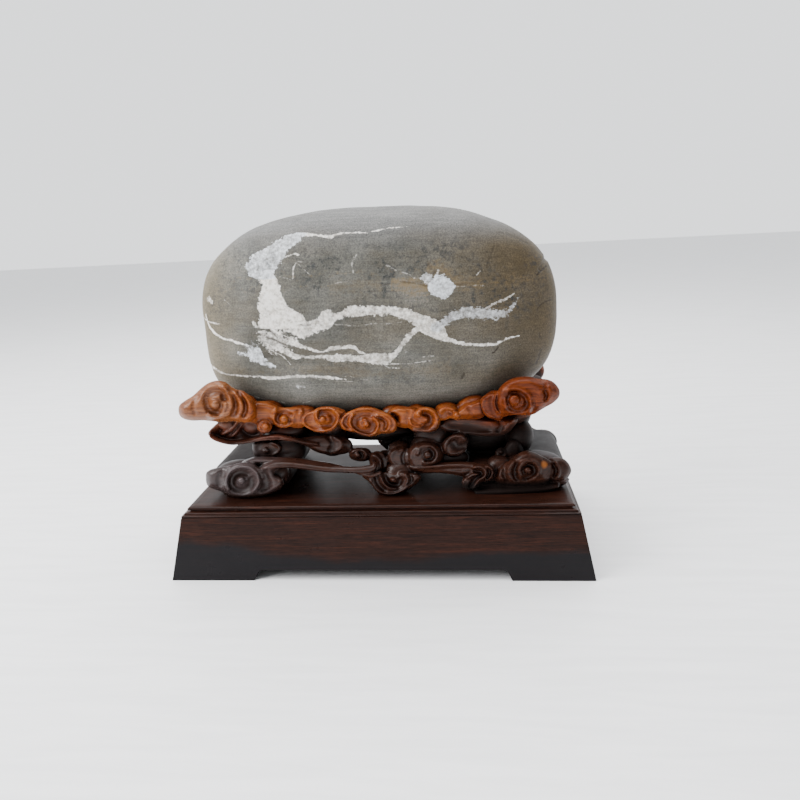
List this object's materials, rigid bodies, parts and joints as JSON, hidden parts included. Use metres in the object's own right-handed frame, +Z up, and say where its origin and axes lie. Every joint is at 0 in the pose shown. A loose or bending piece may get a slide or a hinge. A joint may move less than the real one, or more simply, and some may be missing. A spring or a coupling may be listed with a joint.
{
  "type": "scholars rock",
  "caption": "Flattened veined river stone standing on its long edge in a carved openwork cloud stand, on a rectangular plinth with leaning aprons and bracket feet.",
  "frame": {"origin": "centre of the footprint of the whole object, on the surface that it stands on", "axes": "+X along the length, to the right seen from the front, +Y to the back, +Z up"},
  "size_m": [0.28, 0.1446, 0.236],
  "materials": {
    "river_stone": "matte grey-olive with white veins",
    "stand_wood": "satin, oiled",
    "plinth_wood": "satin, oiled"
  },
  "bodies": {
    "root": {"stone": "river_stone", "cloud_stand": "stand_wood", "plinth_top": "plinth_wood", "plinth_front_apron": "plinth_wood", "plinth_back_apron": "plinth_wood", "plinth_left_apron": "plinth_wood", "plinth_right_apron": "plinth_wood"}
  },
  "joints": []
}
